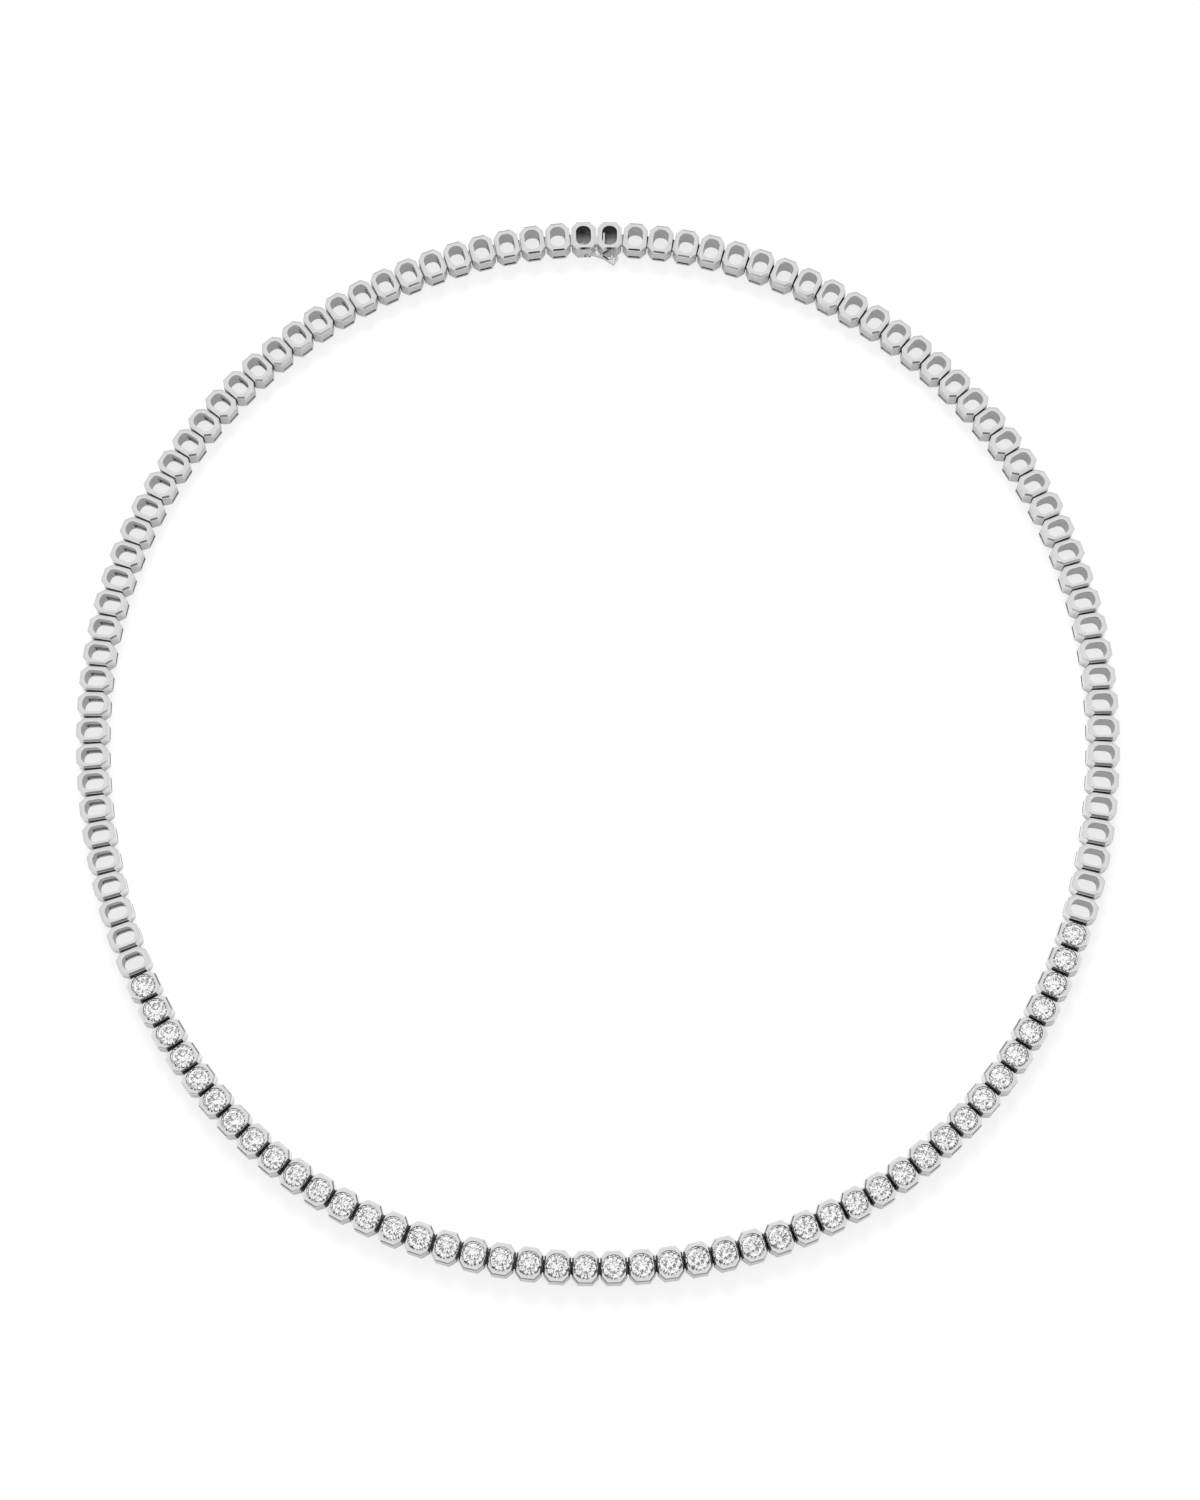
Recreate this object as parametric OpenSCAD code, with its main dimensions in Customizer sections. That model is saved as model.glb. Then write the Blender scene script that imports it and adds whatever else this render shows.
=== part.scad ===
// A riviere necklace laid out in a closed ring. Plain octagonal box links run down both sides
// from the clasp, and bezel links with round brilliants run along the front. All faces look up.

/* [Chain] */
// Open links on the right, between the clasp and the first stone
right_links = 37; // [30:1:45]
// Bezel links, each with its stone
stone_count = 44; // [30:1:50]
// Open links on the left, between the last stone and the clasp
left_links = 39; // [30:1:45]
// Distance from one link to the next along the middle of the chain
pitch = 3.45; // [3.4:0.05:3.7]
// Extra distance between the two links of the clasp
clasp_space = 0.05; // [0.04:0.01:0.1]

/* [Ring] */
// How much longer than wide the ring lies, as a share of its radius
ring_stretch = 0.0285; // [0:0.0005:0.05]
// How far the ring's four diagonals stand proud, as a share of its radius
ring_square = -0.004; // [-0.008:0.001:0.008]
// Small fivefold unevenness of the ring as it lies, as a share of its radius
ring_sway = 0.0038; // [0:0.0001:0.005]
// How far the ring's long axis is turned clockwise from the clasp, in degrees
ring_turn = -0.9; // [-2:0.1:2]

/* [Link] */
// Width of a link across the chain
link_w = 4.05; // [3.9:0.05:4.4]
// Height of a link
link_h = 2.65; // [2.5:0.05:3]
// Space between the end walls of two open links
open_gap = 0.25; // [0.22:0.01:0.28]
// Space between the end walls of two bezel links
bezel_gap = 0.19; // [0.18:0.01:0.22]
// Corner cut, measured along the chain
cut_long = 0.75; // [0.6:0.05:0.85]
// Corner cut, measured across the chain
cut_across = 0.85; // [0.7:0.05:0.95]
// Width of the bevel round the face
bevel_w = 0.28; // [0.15:0.01:0.32]
// Depth of the bevel round the face
bevel_d = 0.15; // [0.1:0.01:0.25]
// Width of the steeper bevel round a bezel
bezel_bevel_w = 0.21; // [0.15:0.01:0.25]
// Depth of the steeper bevel round a bezel
bezel_bevel_d = 0.21; // [0.1:0.01:0.25]
// Length of the link's hole along the chain
hole_long = 2.0; // [1.9:0.05:2.05]
// Width of the link's hole across the chain
hole_across = 2.76; // [2.5:0.02:2.8]
// Corner radius of the link's hole
hole_r = 0.9; // [0.5:0.05:0.95]
// Length of the slot in each side wall
slot_long = 1.55; // [1.2:0.05:1.6]
// Height of the slot in each side wall
slot_h = 0.45; // [0.3:0.05:0.5]
// Height of the slot's middle
slot_z = 0.62; // [0.5:0.02:0.8]
// How deep the slot goes into the wall
slot_depth = 0.3; // [0.2:0.05:0.4]

/* [Hinge] */
// Height of the hinge bars
hinge_z = 1.05; // [1:0.05:1.1]
// Distance of a hinge bar from the middle of its link
bar_x = 1.4; // [1.38:0.01:1.42]
// Radius of a hinge bar
bar_r = 0.15; // [0.13:0.01:0.16]
// Inner radius of a hinge eye
eye_bore = 0.3; // [0.29:0.01:0.31]
// Outer radius of a hinge eye
eye_r = 0.47; // [0.44:0.01:0.48]
// Width of a hinge eye
eye_w = 1.5; // [1.2:0.05:1.5]
// Width of the window that an eye goes in through
window_w = 1.9; // [1.85:0.05:2]
// Height of the window that an eye goes in through
window_h = 1.2; // [1.18:0.02:1.24]

/* [Stone] */
// Diameter of a stone at its girdle
stone_d = 3; // [2.9:0.02:3.02]
// Play between the stone and the bezel's wall
stone_play = 0.04; // [0.03:0.01:0.05]
// Height of the girdle's lower edge
girdle_z = 2.2; // [2.15:0.05:2.25]
// Thickness of the girdle
girdle_h = 0.09; // [0.06:0.01:0.1]
// Table width as a share of the diameter
table_share = 0.57; // [0.53:0.01:0.62]
// Distance of the star facets' tips from the middle, as a share of the radius
star_share = 0.79; // [0.76:0.01:0.82]
// Distance of the lower halves' tips from the middle, as a share of the radius
culet_share = 0.24; // [0.2:0.01:0.3]
// Slope of the crown's main facets
crown_deg = 34.5; // [32:0.5:36]
// Slope of the pavilion's main facets
pavilion_deg = 40.75; // [40:0.25:41.5]
// Height up to which the bezel link is hollow below its seat
chamber_h = 1.78; // [1.76:0.02:1.8]

/* [Clasp] */
// Thickness of the closed links' floors
floor_t = 0.25; // [0.2:0.05:0.35]
// How far a closed link's hinge plate reaches into the next link's hole
plate_reach = 0.45; // [0.3:0.05:0.5]
// Thickness of the shoulder that fills the seam
shoulder_t = 0.16; // [0.1:0.02:0.16]
// Thickness of the tongue's two leaves
leaf_t = 0.2; // [0.15:0.01:0.22]
// Width of the tongue
tongue_w = 1.5; // [1.2:0.1:1.5]
// Radius of the thumb knob
knob_r = 0.22; // [0.21:0.01:0.24]

/* [Safety catch] */
// Thickness of the catch's strip
catch_t = 0.28; // [0.22:0.02:0.3]
// Height of the catch's strip
catch_h = 0.6; // [0.5:0.05:0.7]
// Height of the strip's lower edge
catch_z = 0.25; // [0.25:0.05:0.4]
// Radius of the catch's pin
pin_r = 0.12; // [0.1:0.01:0.13]
// Radius of the stud on the clasp box
stud_r = 0.2; // [0.15:0.01:0.22]

/* [Hidden] */
$fn = 48;
eps = 0.01;
metal = "lightgray";

// Chain along the ring, clockwise from the seam of the clasp
link_count = right_links + stone_count + left_links + 2;
clasp_pitch = pitch + clasp_space;
chain_len = (link_count - 1) * pitch + clasp_pitch;
first_stone_link = right_links + 1;
last_stone_link = right_links + stone_count;

// The ring as a polar curve of unit radius, its angle counted clockwise from the clasp
ring_steps = 720;
function ring_r(a) = 1 + ring_stretch * cos(2 * a) + ring_square * cos(4 * a) + ring_sway * cos(5 * a);
function ring_point(a) = ring_r(a - ring_turn) * [sin(a), cos(a)];
function ring_step(i) = norm(ring_point((i + 1) * 360 / ring_steps) - ring_point(i * 360 / ring_steps));
angle_by_length = [for (i = 0, s = 0; i <= ring_steps; s = s + ring_step(i), i = i + 1) [s, i * 360 / ring_steps]];
ring_scale = chain_len / angle_by_length[ring_steps][0];
ring_centre = -ring_sway * ring_scale * [sin(5 * ring_turn), cos(5 * ring_turn)];
function angle_at(s) = lookup(((s + chain_len) % chain_len) / ring_scale, angle_by_length);
function place_at(s) = ring_scale * ring_point(angle_at(s)) + ring_centre;
function travel_at(s) = place_at(s + 0.2) - place_at(s - 0.2);
function heading_at(s) = atan2(travel_at(s)[1], travel_at(s)[0]);
function link_s(j) = clasp_pitch / 2 + j * pitch;

open_len = pitch - open_gap;
bezel_len = pitch - bezel_gap;
end_w = link_w - 2 * cut_across;
seat_r = stone_d / 2 + stone_play;
crown_h = stone_d / 2 * (1 - table_share) * tan(crown_deg);
pavilion_h = stone_d / 2 * tan(pavilion_deg);
cone_h = 0.62;
cone_low_r = seat_r + 0.03 - cone_h / tan(pavilion_deg);
seam_gap = clasp_pitch - open_len;

// The catch in the seam's own frame: its pivot, and the middle line of its bent strip
pivot = [-1.25, 0.195 - link_w / 2];
knuckle_r = 0.28;
catch_play = 0.08;
catch_path = [
    pivot,
    pivot + [0.85, -0.02],
    [1.05, -link_w / 2 - 0.32],
    [2.25, -link_w / 2 - 1.2],
    [2.78, -link_w / 2 - 0.34]
];
stud_x = 2.05;
stud_z = catch_z + catch_h / 2;

function stone_name(i) = str("stone_", i < 10 ? "0" : "", i);

// Puts its children on the ring: X runs clockwise along the chain, Y points outwards
module on_ring(s) {
    translate([place_at(s)[0], place_at(s)[1], 0])
        rotate([0, 0, heading_at(s)])
            children();
}

// A long bar of the link's bevelled side profile, turned about the upright axis
module bevelled_slab(turn, half, bevel) {
    profile = [
        [-half, 0], [half, 0], [half, link_h - bevel[1]], [half - bevel[0], link_h],
        [bevel[0] - half, link_h], [-half, link_h - bevel[1]]
    ];
    rotate([90, 0, turn])
        linear_extrude(3 * link_w, center = true)
            polygon(profile);
}

// The solid octagon of a link, bevelled round its face by a width and a depth
module link_block(len, bevel = [bevel_w, bevel_d]) {
    turn = atan2(cut_long, cut_across);
    diagonal = len / 2 * cos(turn) + (link_w / 2 - cut_across) * sin(turn);
    intersection() {
        bevelled_slab(0, len / 2, bevel);
        bevelled_slab(90, link_w / 2, bevel);
        bevelled_slab(turn, diagonal, bevel);
        bevelled_slab(-turn, diagonal, bevel);
    }
}

// The rounded hole down the middle of a link, from one height to another
module link_hole(z0, z1) {
    x = hole_long / 2 - hole_r;
    y = hole_across / 2 - hole_r;
    translate([0, 0, z0])
        linear_extrude(z1 - z0) {
            square([hole_long, 2 * y], center = true);
            square([2 * x, hole_across], center = true);
            for (sx = [-1, 1], sy = [-1, 1])
                translate([sx * x, sy * y])
                    circle(hole_r);
        }
}

// The blind slots in both side walls
module side_slots() {
    for (side = [-1, 1])
        translate([0, side * link_w / 2, slot_z])
            cube([slot_long, 2 * slot_depth, slot_h], center = true);
}

// The window through one end wall, towards +X
module hinge_window() {
    depth = 1.2;
    translate([hole_long / 2 - 0.2 + depth / 2, 0, hinge_z])
        cube([depth, window_w, window_h], center = true);
}

// The bar across the window
module hinge_bar() {
    translate([bar_x, 0, hinge_z])
        rotate([90, 0, 0])
            cylinder(h = window_w + 0.3, r = bar_r, center = true);
}

// The eye round the neighbour's bar, towards -X, with a web back to the end wall
module hinge_eye(distance, wall, reach = 0) {
    difference() {
        union() {
            translate([-distance, 0, hinge_z])
                rotate([90, 0, 0])
                    cylinder(h = eye_w, r = eye_r, center = true);
            translate([-distance - reach, -eye_w / 2, hinge_z - 0.34])
                cube([distance + reach - wall + 0.1, eye_w, 0.68]);
        }
        translate([-distance, 0, hinge_z])
            rotate([90, 0, 0])
                cylinder(h = eye_w + 1, r = eye_bore, center = true);
    }
}

module open_link(two_bars = false) {
    difference() {
        link_block(open_len);
        link_hole(-1, link_h + 1);
        side_slots();
        hinge_window();
        if (two_bars)
            mirror([1, 0, 0])
                hinge_window();
    }
    hinge_bar();
    if (two_bars)
        mirror([1, 0, 0])
            hinge_bar();
    else
        hinge_eye(pitch - bar_x, open_len / 2);
}

module stone_link() {
    difference() {
        link_block(bezel_len, [bezel_bevel_w, bezel_bevel_d]);
        link_hole(-1, chamber_h);
        translate([0, 0, girdle_z - cone_h])
            cylinder(h = cone_h + eps, r1 = cone_low_r, r2 = seat_r + 0.01);
        translate([0, 0, girdle_z])
            cylinder(h = link_h, r = seat_r);
        hinge_window();
    }
    hinge_bar();
    hinge_eye(pitch - bar_x, bezel_len / 2);
}

// A round brilliant as one closed mesh. Rings of corners run from the table down, and between them
// lie the table, stars, kites and upper halves, the girdle, and the lower halves and mains.
module brilliant() {
    r = stone_d / 2;
    star_r = star_share * r;
    lower_r = culet_share * r;
    star_z = girdle_h + (r - star_r * cos(22.5)) * tan(crown_deg);
    lower_z = lower_r * cos(22.5) * tan(pavilion_deg) - pavilion_h;
    ring = function(n, radius, z, turn)
        [for (k = [0:n - 1]) [radius * cos(turn + k * 360 / n), radius * sin(turn + k * 360 / n), z]];
    table = 0;
    star = 8;
    upper = 16;
    under = 32;
    low = 48;
    culet = 56;
    points = concat(
        ring(8, r * table_share, girdle_h + crown_h, 0),
        ring(8, star_r, star_z, 22.5),
        ring(16, r, girdle_h, 0),
        ring(16, r, 0, 0),
        ring(8, lower_r, lower_z, 22.5),
        [[0, 0, -pavilion_h]]
    );
    faces = concat(
        [[for (k = [7:-1:0]) table + k]],
        [for (k = [0:7]) each let (
            next = (k + 1) % 8,
            last = (k + 7) % 8,
            here = 2 * k,
            middle = 2 * k + 1,
            there = (2 * k + 2) % 16
        ) [
            [table + k, table + next, star + k],
            [table + k, star + k, upper + here],
            [table + k, upper + here, star + last],
            [star + k, upper + middle, upper + here],
            [star + k, upper + there, upper + middle],
            [upper + here, upper + middle, under + middle, under + here],
            [upper + middle, upper + there, under + there, under + middle],
            [under + here, under + middle, low + k],
            [under + middle, under + there, low + k],
            [under + here, low + k, culet],
            [under + here, culet, low + last]
        ]]
    );
    polyhedron(points = points, faces = faces, convexity = 2);
}

module open_links() {
    color(metal)
        for (j = [1:link_count - 2])
            if (j < first_stone_link || j > last_stone_link)
                on_ring(link_s(j))
                    open_link(two_bars = j == 1);
}

module stone_links() {
    color(metal)
        for (j = [first_stone_link:last_stone_link])
            on_ring(link_s(j))
                stone_link();
}

// Stones are turned a little from one to the next, as they were set by hand
module stone(i) {
    color("aliceblue")
        on_ring(link_s(right_links + i))
            translate([0, 0, girdle_z])
                rotate([0, 0, 137.5 * i])
                    brilliant();
}

// A closed link with its floor
module closed_link() {
    difference() {
        link_block(open_len);
        link_hole(floor_t, link_h + 1);
    }
}

// The link right of the seam: the tongue's mouth, the hinge plate for its neighbour, and the stud
module clasp_box() {
    color(metal) {
        on_ring(link_s(0)) {
            difference() {
                closed_link();
                mirror([1, 0, 0])
                    hinge_window();
            }
            mirror([1, 0, 0])
                hinge_eye(pitch - bar_x, open_len / 2, plate_reach);
        }
        on_ring(0)
            translate([stud_x, 0.25 - link_w / 2, stud_z])
                rotate([90, 0, 0])
                    cylinder(h = 0.8, r = stud_r);
    }
}

// The spring tongue in the seam's frame: a lower leaf into the box and an upper leaf bent back up
module spring_tongue() {
    wall_in = seam_gap / 2 + (open_len - hole_long) / 2;
    fold = wall_in + 0.6;
    low = hinge_z - window_h / 2 + 0.12;
    top = hinge_z + window_h / 2 + 0.2;
    side = [
        [-seam_gap / 2 - 0.3, low], [fold, low], [fold, low + leaf_t],
        [wall_in + 0.14 + leaf_t, top], [wall_in + 0.14, top],
        [fold - leaf_t - 0.04, low + leaf_t], [-seam_gap / 2 - 0.3, low + leaf_t]
    ];
    rotate([90, 0, 0])
        linear_extrude(tongue_w, center = true)
            polygon(side);
}

// The space that the catch's knuckle and strip swing in
module catch_recess() {
    translate([0, 0, catch_z - catch_play])
        linear_extrude(catch_h + 2 * catch_play) {
            translate(pivot)
                circle(knuckle_r + 0.08);
            translate(pivot + [-knuckle_r - 0.08, -1])
                square([1.5, 1]);
            translate(pivot + [0, -1])
                square([1.5, 1.22]);
        }
}

// The link left of the seam: tongue, shoulder, thumb knob, and the catch's recess and pin
module clasp_tongue() {
    color(metal) {
        difference() {
            union() {
                on_ring(link_s(link_count - 1)) {
                    closed_link();
                    hinge_eye(pitch - bar_x, open_len / 2, plate_reach);
                }
                on_ring(0)
                    translate([-seam_gap / 2 - 0.1, -end_w / 2, floor_t])
                        cube([shoulder_t + 0.1, end_w, link_h - 2 * floor_t]);
            }
            on_ring(0)
                catch_recess();
        }
        on_ring(0) {
            spring_tongue();
            translate([-seam_gap / 2 + 0.03, -end_w / 2 - 0.2, 1.6])
                sphere(knob_r);
            translate([pivot[0], pivot[1], catch_z - 0.2])
                cylinder(h = catch_h + 0.4, r = pin_r);
        }
    }
}

// A strip of one thickness along a path, with round bends and ends
module strip(path, thickness) {
    for (p = path)
        translate(p)
            circle(thickness / 2);
    for (i = [0:len(path) - 2]) {
        run = path[i + 1] - path[i];
        translate(path[i])
            rotate([0, 0, atan2(run[1], run[0])])
                translate([0, -thickness / 2])
                    square([norm(run), thickness]);
    }
}

module safety_catch() {
    color(metal)
        on_ring(0)
            translate([0, 0, catch_z])
                linear_extrude(catch_h)
                    difference() {
                        union() {
                            strip(catch_path, catch_t);
                            translate(pivot)
                                circle(knuckle_r);
                        }
                        translate(pivot)
                            circle(pin_r + 0.07);
                    }
}

open_links();
stone_links();
clasp_box();
clasp_tongue();
safety_catch();
for (i = [1:stone_count])
    stone(i);
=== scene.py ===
"""The looks of a riviere necklace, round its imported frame

Polished open links, bezel links with their brilliants, the clasp and its safety catch, on a pale stage.
"""

import bisect
import math

import bmesh
import bpy
from mathutils import Matrix, Vector


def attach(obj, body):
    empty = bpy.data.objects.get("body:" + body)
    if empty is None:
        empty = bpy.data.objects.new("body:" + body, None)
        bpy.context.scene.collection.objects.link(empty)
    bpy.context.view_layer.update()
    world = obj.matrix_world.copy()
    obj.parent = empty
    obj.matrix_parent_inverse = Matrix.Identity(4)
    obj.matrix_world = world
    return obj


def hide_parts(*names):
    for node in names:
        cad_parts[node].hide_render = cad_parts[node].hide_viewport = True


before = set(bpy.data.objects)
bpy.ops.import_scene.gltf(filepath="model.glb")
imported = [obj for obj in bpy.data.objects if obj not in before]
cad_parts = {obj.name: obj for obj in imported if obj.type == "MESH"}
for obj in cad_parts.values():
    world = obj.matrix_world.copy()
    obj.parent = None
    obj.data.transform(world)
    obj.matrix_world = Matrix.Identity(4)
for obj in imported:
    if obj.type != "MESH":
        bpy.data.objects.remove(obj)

bl_info = {
    "name": "Riviere Necklace",
    "version": (1, 0, 0),
    "blender": (4, 5, 0),
    "location": "View3D > Sidebar > Riviere",
    "description": "Builds the looks of a riviere necklace round its packed frame",
    "category": "Object",
}

MM = 0.001
SHARP = math.radians(32)  # an edge that turns by more is crisp
UNDERSIDE = 0.1  # faces below this height in millimetres belong to a link's underside
HINGE_TOP = 2.0  # faces of a hinge and its window lie below this height in millimetres
STRIP = 1.5  # a face narrower than this many soft edges belongs to a soft edge
TOUCH = 0.03  # how near in millimetres a face counts as lying on a plane
STONE_NODES = sorted(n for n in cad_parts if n.startswith("stone_") and n != "stone_links")
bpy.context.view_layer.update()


def length(name, description, millimetres):
    """A length that the user may change, kept in metres"""
    return bpy.props.FloatProperty(
        name=name, description=description, default=millimetres * MM,
        precision=5, unit="LENGTH", subtype="DISTANCE"
    )


def share(name, description, default):
    """A plain number that the user may change"""
    return bpy.props.FloatProperty(name=name, description=description, default=default, precision=4)


def angle(name, description, degrees):
    """An angle that the user may change, kept in radians"""
    return bpy.props.FloatProperty(
        name=name, description=description, default=math.radians(degrees), subtype="ANGLE", unit="ROTATION"
    )


def colour(name, description, default):
    """A colour that the user may change"""
    return bpy.props.FloatVectorProperty(
        name=name, description=description, default=default, size=3, min=0, max=1, subtype="COLOR"
    )


class RiviereChain(bpy.types.PropertyGroup):
    """How many links there are, and the ring that they lie in"""

    right_links: bpy.props.IntProperty(
        name="Right links", description="Open links from the clasp to the first stone", default=37, min=1
    )
    stone_count: bpy.props.IntProperty(
        name="Stones", description="Bezel links, each with its stone", default=len(STONE_NODES), min=1
    )
    left_links: bpy.props.IntProperty(
        name="Left links", description="Open links between the last stone and the clasp", default=39, min=1
    )
    pitch: length("Pitch", "Distance from one link to the next along the chain", 3.45)
    clasp_space: length("Clasp space", "Extra distance between the two links of the clasp", 0.05)
    stretch: share("Stretch", "How much longer than wide the ring lies, as a share of its radius", 0.0285)
    square: share("Square", "How far the ring's diagonals stand proud, as a share of its radius", -0.004)
    sway: share("Sway", "Fivefold unevenness of the ring as it lies, as a share of its radius", 0.0038)
    turn: angle("Turn", "How far the ring's long axis is turned clockwise from the clasp", -0.9)


class RiviereLink(bpy.types.PropertyGroup):
    """The octagonal box link"""

    width: length("Width", "Width across the chain", 4.05)
    height: length("Height", "Height from the surface to the face", 2.65)
    open_gap: length("Open gap", "Space between the end walls of two open links", 0.25)
    bezel_gap: length("Bezel gap", "Space between the end walls of two bezel links", 0.19)
    cut_long: length("Cut along", "Corner cut, measured along the chain", 0.75)
    cut_across: length("Cut across", "Corner cut, measured across the chain", 0.85)
    bevel_w: length("Bevel width", "Width of the bevel round the face", 0.28)
    bevel_d: length("Bevel depth", "Depth of the bevel round the face", 0.15)
    bezel_bevel_w: length("Bezel bevel width", "Width of the steeper bevel round a bezel", 0.21)
    bezel_bevel_d: length("Bezel bevel depth", "Depth of the steeper bevel round a bezel", 0.21)
    hole_long: length("Hole length", "Length of the hole along the chain", 2.0)
    hole_across: length("Hole width", "Width of the hole across the chain", 2.76)
    hole_r: length("Hole corner", "Corner radius of the hole", 0.9)
    slot_long: length("Slot length", "Length of the slot in each side wall", 1.55)
    slot_h: length("Slot height", "Height of the slot in each side wall", 0.45)
    slot_z: length("Slot level", "Height of the slot's middle", 0.62)
    slot_depth: length("Slot depth", "How deep the slot goes into the wall", 0.3)
    soft: length("Soft edge", "How far polishing has rounded the edges", 0.045)


class RiviereHinge(bpy.types.PropertyGroup):
    """The bar and eye that hang one link on the next"""

    level: length("Level", "Height of the hinge bars", 1.05)
    bar_x: length("Bar place", "Distance of a bar from the middle of its link", 1.4)
    bar_r: length("Bar radius", "Radius of a bar", 0.15)
    eye_bore: length("Eye bore", "Inner radius of an eye", 0.3)
    eye_r: length("Eye radius", "Outer radius of an eye", 0.47)
    eye_w: length("Eye width", "Width of an eye", 1.5)
    web_h: length("Web height", "Height of the web between an eye and its wall", 0.68)
    window_w: length("Window width", "Width of the window that an eye goes in through", 1.9)
    window_h: length("Window height", "Height of the window that an eye goes in through", 1.2)


class RiviereSetting(bpy.types.PropertyGroup):
    """The bezel that holds a stone"""

    seat_r: length("Seat radius", "Inner radius of the bezel's wall round the girdle", 1.54)
    lip_r: length("Lip radius", "Inner radius of the bezel's lip above the girdle", 1.5)
    girdle_z: length("Girdle level", "Height of the girdle's lower edge", 2.2)
    lip_z: length("Lip level", "Height at which the wall starts to lean in over the girdle", 2.36)
    cone_low: length("Seat depth", "Height of the seat cone's lower edge", 1.78)
    cone_low_r: length("Seat lower radius", "Radius of the seat cone's lower edge", 1.0)


class RiviereFinish(bpy.types.PropertyGroup):
    """Colours and polish"""

    gold: colour("White gold", "Colour of the polished white gold", (0.72, 0.72, 0.716))
    gold_rough: share("Polish", "Roughness of the polished faces", 0.07)
    satin: colour("Satin gold", "Colour of the duller clasp floors", (0.66, 0.66, 0.656))
    satin_rough: share("Satin", "Roughness of the duller clasp floors", 0.42)
    # painted shade: a dark gold put on the seats, the hinge windows and the end walls between the links,
    # where deep shade falls
    cast: colour("Cast gold", "Colour of the gold in the seats and between the links", (0.16, 0.16, 0.158))
    cast_rough: share("Cast", "Roughness of the gold in the seats and between the links", 0.3)
    diamond: colour("Diamond", "Body colour of the stones", (1.0, 1.0, 1.0))
    diamond_ior: share("Diamond index", "Refractive index of the stones", 2.417)


class RiviereStage(bpy.types.PropertyGroup):
    """Floor, light and camera"""

    floor: colour("Floor", "Colour of the floor", (0.8, 0.8, 0.8))
    floor_haze: share("Floor haze", "How far the picture washes the floor out towards white", 0.74)
    floor_glow: share("Floor glow", "How far the floor that the metal mirrors is washed out", 0.25)
    sky: share("Sky", "Brightness of the soft light from above", 1.27)
    horizon: share("Horizon", "Brightness at the horizon as a share of the sky's", 0.3)
    low: share("Low sky", "Brightness a little above the horizon as a share of the sky's", 0.92)
    sparkle: share("Sparkle", "Brightness of the sky that the stones gather", 1.4)
    sparkle_spot: angle("Sparkle spot", "How far the black spot reaches that the stones gather", 13)
    sparkle_clouds: share("Sparkle clouds", "How many dark clouds the stones' sky has side by side", 9.0)
    sparkle_rim: share("Sparkle rim", "Height over the horizon where the stones' sky starts", 0.14)
    front: share("Front", "Brightness of the dark place behind the camera as a share of the sky's", 0.22)
    front_lift: angle("Front height", "How high the middle of the dark place stands", 60)
    front_turn: angle("Front turn", "How far the dark place stands to the right of the camera", 11)
    front_dark: angle("Front core", "How far the dark place is at its darkest", 10)
    front_edge: angle("Front edge", "How far the dark place reaches", 30)
    key_power: bpy.props.FloatProperty(
        name="Main light", description="Power of the soft light behind the ring", default=9.0, unit="POWER"
    )
    lens: bpy.props.FloatProperty(
        name="Lens", description="Focal length of the camera", default=72.09, unit="CAMERA"
    )
    distance: length("Camera distance", "Distance from the camera to the point it looks at", 386.37)
    tilt: angle("Camera tilt", "How far the camera leans forward from straight overhead", 15.56)
    roll: angle("Camera roll", "How far the camera is turned about its own axis", 0.186)
    aim_x: length("Aim across", "Where the camera looks, to the right of the middle", 0.268)
    aim_y: length("Aim along", "Where the camera looks, behind the middle", -2.381)


class Sizes:
    """A group's values as plain numbers, its lengths in millimetres"""

    def __init__(self, group):
        for key in group.__annotations__:
            value = getattr(group, key)
            in_metres = group.bl_rna.properties[key].unit == "LENGTH"
            setattr(self, key, value / MM if in_metres else value)


class Ring:
    """The closed line of the chain, clockwise from the seam of the clasp, in millimetres"""

    STEPS = 720
    REACH = 0.2

    def __init__(self, chain):
        self.chain = chain
        self.links = chain.right_links + chain.stone_count + chain.left_links + 2
        self.clasp_pitch = chain.pitch + chain.clasp_space
        self.length = (self.links - 1) * chain.pitch + self.clasp_pitch
        points = [self.unit(i * math.tau / self.STEPS) for i in range(self.STEPS + 1)]
        self.lengths = [0.0]
        for a, b in zip(points, points[1:]):
            self.lengths.append(self.lengths[-1] + (b - a).length)
        self.scale = self.length / self.lengths[-1]
        swayed = 5 * chain.turn
        self.centre = -chain.sway * self.scale * Vector((math.sin(swayed), math.cos(swayed)))

    def unit(self, turn):
        """A point of the ring of unit radius, its angle counted clockwise from the clasp"""
        beyond = turn - self.chain.turn
        wave = self.chain.stretch * math.cos(2 * beyond)
        wave += self.chain.square * math.cos(4 * beyond)
        wave += self.chain.sway * math.cos(5 * beyond)
        return (1 + wave) * Vector((math.sin(turn), math.cos(turn)))

    def place(self, along):
        """The point at a distance along the chain"""
        along = along % self.length / self.scale
        i = min(bisect.bisect_right(self.lengths, along), self.STEPS) - 1
        part = (along - self.lengths[i]) / (self.lengths[i + 1] - self.lengths[i])
        return self.scale * self.unit((i + part) * math.tau / self.STEPS) + self.centre

    def frame(self, along):
        """Stands a link on the ring, in metres: X runs clockwise along the chain, Y points outwards"""
        here = self.place(along)
        way = self.place(along + self.REACH) - self.place(along - self.REACH)
        turned = Matrix.Rotation(math.atan2(way.y, way.x), 4, "Z")
        return Matrix.Scale(MM, 4) @ Matrix.Translation((here.x, here.y, 0)) @ turned

    def link(self, number):
        """Where a link lies, counted clockwise from the clasp box, which is number 0"""
        return self.frame(self.clasp_pitch / 2 + number * self.chain.pitch)


def rounded(profile, soft):
    """A profile with each inner corner drawn as three points of a small curve"""
    points = [Vector(p) for p in profile]
    curve = []
    for before, corner, after in zip(points, points[1:], points[2:]):
        start = corner + (before - corner).normalized() * soft
        end = corner + (after - corner).normalized() * soft
        curve += [start, (start + 2 * corner + end) / 4, end]
    return curve


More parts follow.
